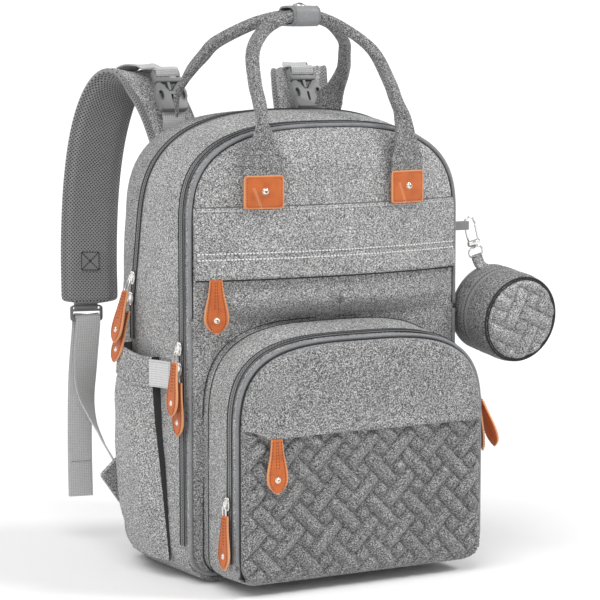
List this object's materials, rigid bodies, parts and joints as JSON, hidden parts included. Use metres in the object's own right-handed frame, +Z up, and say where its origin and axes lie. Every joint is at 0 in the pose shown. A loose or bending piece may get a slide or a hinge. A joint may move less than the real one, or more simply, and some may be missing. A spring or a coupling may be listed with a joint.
{
  "type": "diaper backpack",
  "caption": "Boxy grey fabric backpack with leather zip pulls, arched carry handles, a quilted zipped front pocket, side pockets, padded straps and a round hanging case.",
  "frame": {"origin": "middle of the flat underside of the main shell, on which the bag stands", "axes": "+Z up along the bag's height, -Y out of the quilted front pocket, +X to the right as seen from the front, towards the hanging case"},
  "size_m": [0.4134, 0.3309, 0.5315],
  "materials": {
    "body_fabric": "heather-grey woven polyester, light melange",
    "quilted_fabric": "heather-grey fabric quilted in a diagonal basket pattern",
    "air_mesh": "grey open spacer mesh over foam",
    "webbing": "light grey ribbed polyester webbing",
    "leather": "tan leather, satin, pale raw edge",
    "zip_tape": "grey zip tape with dark teeth",
    "zip_metal": "polished silver die-cast metal",
    "buckle_plastic": "grey satin moulded plastic",
    "board": "dark stiffening board"
  },
  "bodies": {
    "bag": {"main_shell": "body_fabric", "base_board": "board", "main_zip": "zip_tape", "laptop_zip": "zip_tape", "side_pocket_left": "body_fabric", "side_pocket_right": "body_fabric", "side_loop": "webbing", "front_panel": "body_fabric", "pocket_gusset": "body_fabric", "pocket_zip": "zip_tape"},
    "flap": {"front_flap": "body_fabric", "placket": "body_fabric", "handle_tab_left": "leather", "handle_tab_right": "leather"},
    "pocket_lid": {"pocket_lid": "quilted_fabric"},
    "laptop_section": {"laptop_shell": "body_fabric", "back_pad": "air_mesh", "strap_top_left": "air_mesh", "strap_top_right": "air_mesh", "buckle_socket_left": "buckle_plastic", "buckle_socket_right": "buckle_plastic", "strap_anchor_left": "body_fabric", "strap_anchor_right": "body_fabric"},
    "front_handle": {"front_handle": "webbing", "grip_front": "webbing"},
    "rear_handle": {"rear_handle": "webbing", "grip_rear": "webbing"},
    "strap_left": {"strap_pad_left": "air_mesh", "ladder_lock_left": "buckle_plastic", "strap_webbing_left": "webbing"},
    "strap_right": {"strap_pad_right": "air_mesh", "ladder_lock_right": "buckle_plastic", "strap_webbing_right": "webbing"},
    "buckle_left": {"buckle_plug_left": "buckle_plastic", "plug_webbing_left": "webbing"},
    "buckle_right": {"buckle_plug_right": "buckle_plastic", "plug_webbing_right": "webbing"},
    "hook": {"snap_hook": "zip_metal"},
    "hook_gate": {"hook_gate": "zip_metal"},
    "case_ring": {"case_ring": "zip_metal"},
    "case": {"case_tab": "body_fabric", "case_back": "body_fabric"},
    "case_lid": {"case_lid": "quilted_fabric"},
    "case_slider": {"case_slider": "zip_metal"},
    "main_slider_upper": {"main_slider_upper": "zip_metal"},
    "main_pull_upper": {"main_pull_upper": "leather"},
    "main_slider_lower": {"main_slider_lower": "zip_metal"},
    "main_pull_lower": {"main_pull_lower": "leather"},
    "laptop_slider_upper": {"laptop_slider_upper": "zip_metal"},
    "laptop_pull_upper": {"laptop_pull_upper": "leather"},
    "laptop_slider_lower": {"laptop_slider_lower": "zip_metal"},
    "laptop_pull_lower": {"laptop_pull_lower": "leather"},
    "pocket_slider_left": {"pocket_slider_left": "zip_metal"},
    "pocket_pull_left": {"pocket_pull_left": "leather"},
    "pocket_slider_right": {"pocket_slider_right": "zip_metal"},
    "pocket_pull_right": {"pocket_pull_right": "leather"},
    "upper_slider": {"upper_slider": "zip_metal"},
    "upper_pull": {"upper_pull": "leather"},
    "lid_slider": {"lid_slider": "zip_metal"},
    "lid_pull": {"lid_pull": "leather"}
  },
  "joints": [
    {"name": "flap_fold", "type": "hinge", "parent": "bag", "child": "flap", "pos_m": [0, -0.068, 0.242], "axis": [1, 0, 0], "range_deg": [0, 45]},
    {"name": "pocket_lid_fold", "type": "hinge", "parent": "bag", "child": "pocket_lid", "pos_m": [0, -0.1324, 0.011], "axis": [1, 0, 0], "range_deg": [0, 70]},
    {"name": "laptop_section_fold", "type": "hinge", "parent": "bag", "child": "laptop_section", "pos_m": [0, 0.078, 0], "axis": [-1, 0, 0], "range_deg": [0, 20]},
    {"name": "front_handle_fold", "type": "hinge", "parent": "flap", "child": "front_handle", "pos_m": [0, -0.086, 0.379], "axis": [1, 0, 0], "range_deg": [0, 95]},
    {"name": "rear_handle_fold", "type": "hinge", "parent": "laptop_section", "child": "rear_handle", "pos_m": [0, 0.074, 0.436], "axis": [-1, 0, 0], "range_deg": [0, 50]},
    {"name": "strap_left_swing", "type": "hinge", "parent": "laptop_section", "child": "strap_left", "pos_m": [-0.097, 0.154, 0.459], "axis": [1, 0, 0], "range_deg": [0, 22]},
    {"name": "buckle_left_release", "type": "slide", "parent": "laptop_section", "child": "buckle_left", "axis": [0, 0.4899, 0.8718], "range_m": [0, 0.025]},
    {"name": "strap_right_swing", "type": "hinge", "parent": "laptop_section", "child": "strap_right", "pos_m": [0.097, 0.154, 0.459], "axis": [1, 0, 0], "range_deg": [0, 22]},
    {"name": "buckle_right_release", "type": "slide", "parent": "laptop_section", "child": "buckle_right", "axis": [0, 0.4899, 0.8718], "range_m": [0, 0.025]},
    {"name": "main_slider_upper_run", "type": "slide", "parent": "bag", "child": "main_slider_upper", "axis": [0, 0, 1], "range_m": [0, 0.1]},
    {"name": "main_pull_upper_lift", "type": "hinge", "parent": "main_slider_upper", "child": "main_pull_upper", "pos_m": [-0.1566, -0.0555, 0.207], "axis": [0, 1, 0], "range_deg": [0, 100]},
    {"name": "main_slider_lower_run", "type": "slide", "parent": "bag", "child": "main_slider_lower", "axis": [0, 0, 1], "range_m": [-0.13, 0]},
    {"name": "main_pull_lower_lift", "type": "hinge", "parent": "main_slider_lower", "child": "main_pull_lower", "pos_m": [-0.1521, -0.0555, 0.1885], "axis": [0, 1, 0], "range_deg": [0, 8]},
    {"name": "laptop_slider_upper_run", "type": "slide", "parent": "bag", "child": "laptop_slider_upper", "axis": [0, -0.1961, 0.9806], "range_m": [0, 0.045]},
    {"name": "laptop_pull_upper_lift", "type": "hinge", "parent": "laptop_slider_upper", "child": "laptop_pull_upper", "pos_m": [-0.1591, 0.038, 0.264], "axis": [0, 1, 0], "range_deg": [0, 100]},
    {"name": "laptop_slider_lower_run", "type": "slide", "parent": "bag", "child": "laptop_slider_lower", "axis": [0, -0.1961, 0.9806], "range_m": [-0.004, 0]},
    {"name": "laptop_pull_lower_lift", "type": "hinge", "parent": "laptop_slider_lower", "child": "laptop_pull_lower", "pos_m": [-0.1551, 0.0408, 0.2445], "axis": [0, 1, 0], "range_deg": [0, 6]},
    {"name": "pocket_slider_left_run", "type": "slide", "parent": "bag", "child": "pocket_slider_left", "axis": [0, 0, 1], "range_m": [-0.018, 0.05]},
    {"name": "pocket_pull_left_lift", "type": "hinge", "parent": "pocket_slider_left", "child": "pocket_pull_left", "pos_m": [-0.1377, -0.1205, 0.0745], "axis": [0, 1, 0], "range_deg": [0, 100]},
    {"name": "pocket_slider_right_run", "type": "slide", "parent": "bag", "child": "pocket_slider_right", "axis": [0, 0, 1], "range_m": [-0.1, 0]},
    {"name": "pocket_pull_right_lift", "type": "hinge", "parent": "pocket_slider_right", "child": "pocket_pull_right", "pos_m": [0.1377, -0.1205, 0.1595], "axis": [0, -1, 0], "range_deg": [0, 100]},
    {"name": "upper_slider_run", "type": "hinge", "parent": "flap", "child": "upper_slider", "pos_m": [0, 0.41946, 0.282], "axis": [0, 0, 1], "range_deg": [0, 6.5]},
    {"name": "upper_pull_lift", "type": "hinge", "parent": "upper_slider", "child": "upper_pull", "pos_m": [-0.1205, -0.0771, 0.2796], "axis": [-0.973, 0.2309, 0], "range_deg": [0, 85]},
    {"name": "lid_slider_run", "type": "slide", "parent": "pocket_lid", "child": "lid_slider", "axis": [1, 0, 0], "range_m": [0, 0.19]},
    {"name": "lid_pull_lift", "type": "hinge", "parent": "lid_slider", "child": "lid_pull", "pos_m": [-0.097, -0.1425, 0.1465], "axis": [-1, 0, 0], "range_deg": [0, 90]},
    {"name": "case_swing", "type": "hinge", "parent": "bag", "child": "hook", "pos_m": [0.1625, -0.055, 0.3185], "axis": [0, -1, 0], "range_deg": [0, 12]},
    {"name": "hook_gate_press", "type": "hinge", "parent": "hook", "child": "hook_gate", "pos_m": [0.17803, -0.055, 0.30496], "axis": [0, -1, 0], "range_deg": [0, 14], "stiffness_Nm_per_rad": 0.003, "springref_deg": -11.46},
    {"name": "case_swivel", "type": "hinge", "parent": "hook", "child": "case_ring", "pos_m": [0.17388, -0.055, 0.29825], "axis": [-0.2588, 0, 0.9659], "range_deg": [0, 60]},
    {"name": "case_tilt", "type": "hinge", "parent": "case_ring", "child": "case", "pos_m": [0.17703, -0.055, 0.28647], "axis": [-0.9659, 0, -0.2588], "range_deg": [0, 40]},
    {"name": "case_lid_fold", "type": "hinge", "parent": "case", "child": "case_lid", "pos_m": [0.20171, -0.06999, 0.19438], "axis": [0.9659, 0, 0.2588], "range_deg": [0, 95]},
    {"name": "case_slider_run", "type": "hinge", "parent": "case", "child": "case_slider", "pos_m": [0.19079, -0.07517, 0.23513], "axis": [-0.0315, 0.9925, 0.1177], "range_deg": [-150, 80]}
  ]
}
